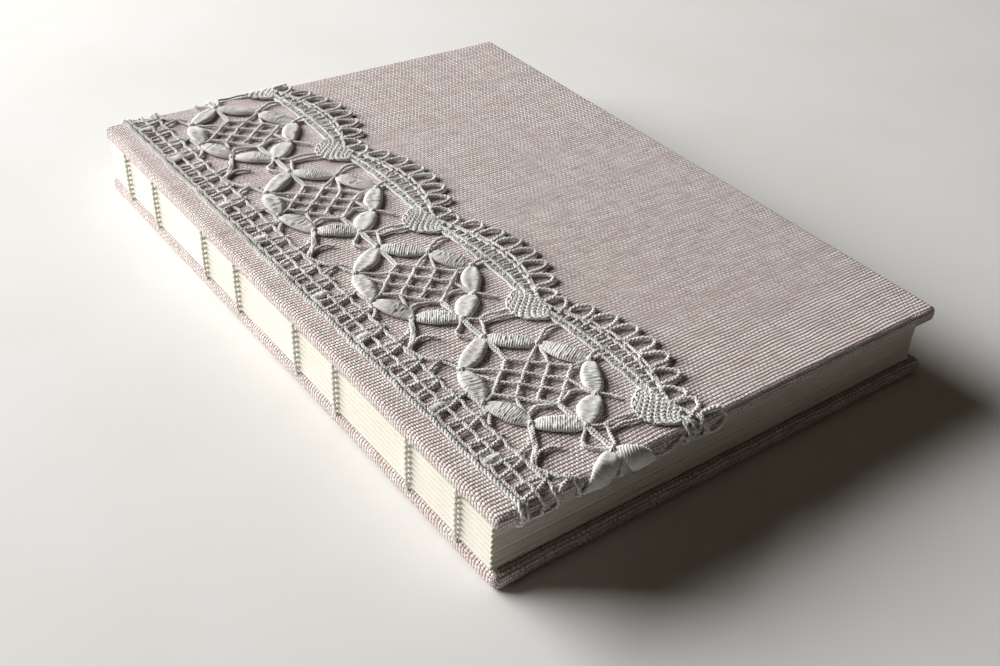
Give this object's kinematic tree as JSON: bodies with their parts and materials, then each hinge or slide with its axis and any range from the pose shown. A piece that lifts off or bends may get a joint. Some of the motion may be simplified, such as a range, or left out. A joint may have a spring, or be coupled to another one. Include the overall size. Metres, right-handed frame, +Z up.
{
  "type": "guest book",
  "caption": "Exposed-spine sewn book with linen covers, folded paper sections, chain-stitch sewing and a lace band on the front.",
  "frame": {"origin": "centre of the whole book's box on the underside of the back cover, closed", "axes": "+Y along the spine towards the head, +X from the spine towards the fore-edge, +Z up out of the front cover"},
  "size_m": [0.1508, 0.2164, 0.0235],
  "materials": {
    "linen": "dusty mauve plain-weave linen, matt",
    "greyboard": "grey binder's board, matt",
    "paper": "cream uncoated paper, matt",
    "lace": "greyish white cotton bobbin lace, matt",
    "thread": "waxed linen thread, slightly shiny"
  },
  "bodies": {
    "back_cover": {"back_board": "greyboard", "back_cover_cloth": "linen", "back_endpaper": "paper", "back_cover_thread": "thread"},
    "section_8": {"section_8": "paper", "sewing_thread_8": "thread"},
    "section_7": {"section_7": "paper", "sewing_thread_7": "thread"},
    "section_6": {"section_6": "paper", "sewing_thread_6": "thread"},
    "section_5": {"section_5": "paper", "sewing_thread_5": "thread"},
    "section_4": {"section_4": "paper", "sewing_thread_4": "thread"},
    "section_3": {"section_3": "paper", "sewing_thread_3": "thread"},
    "section_2": {"section_2": "paper", "sewing_thread_2": "thread"},
    "section_1": {"section_1": "paper", "sewing_thread_1": "thread"},
    "front_cover": {"front_board": "greyboard", "front_cover_cloth": "linen", "front_endpaper": "paper", "front_cover_thread": "thread", "lace_band": "lace"}
  },
  "joints": [
    {"name": "section_8_hinge", "type": "hinge", "parent": "back_cover", "child": "section_8", "pos_m": [-0.0751, 0, 0.00455], "axis": [0, 1, 0], "range_deg": [-6, 0]},
    {"name": "section_7_hinge", "type": "hinge", "parent": "section_8", "child": "section_7", "pos_m": [-0.0751, 0, 0.0062], "axis": [0, 1, 0], "range_deg": [-6, 0]},
    {"name": "section_6_hinge", "type": "hinge", "parent": "section_7", "child": "section_6", "pos_m": [-0.0751, 0, 0.00785], "axis": [0, 1, 0], "range_deg": [-6, 0]},
    {"name": "section_5_hinge", "type": "hinge", "parent": "section_6", "child": "section_5", "pos_m": [-0.0751, 0, 0.0095], "axis": [0, 1, 0], "range_deg": [-6, 0]},
    {"name": "section_4_hinge", "type": "hinge", "parent": "section_5", "child": "section_4", "pos_m": [-0.0751, 0, 0.01115], "axis": [0, 1, 0], "range_deg": [-130, 0]},
    {"name": "section_3_hinge", "type": "hinge", "parent": "section_4", "child": "section_3", "pos_m": [-0.0751, 0, 0.0128], "axis": [0, 1, 0], "range_deg": [-6, 0]},
    {"name": "section_2_hinge", "type": "hinge", "parent": "section_3", "child": "section_2", "pos_m": [-0.0751, 0, 0.01445], "axis": [0, 1, 0], "range_deg": [-6, 0]},
    {"name": "section_1_hinge", "type": "hinge", "parent": "section_2", "child": "section_1", "pos_m": [-0.0751, 0, 0.0161], "axis": [0, 1, 0], "range_deg": [-6, 0]},
    {"name": "front_cover_hinge", "type": "hinge", "parent": "section_1", "child": "front_cover", "pos_m": [-0.0751, 0, 0.01775], "axis": [0, -1, 0], "range_deg": [0, 184]}
  ]
}
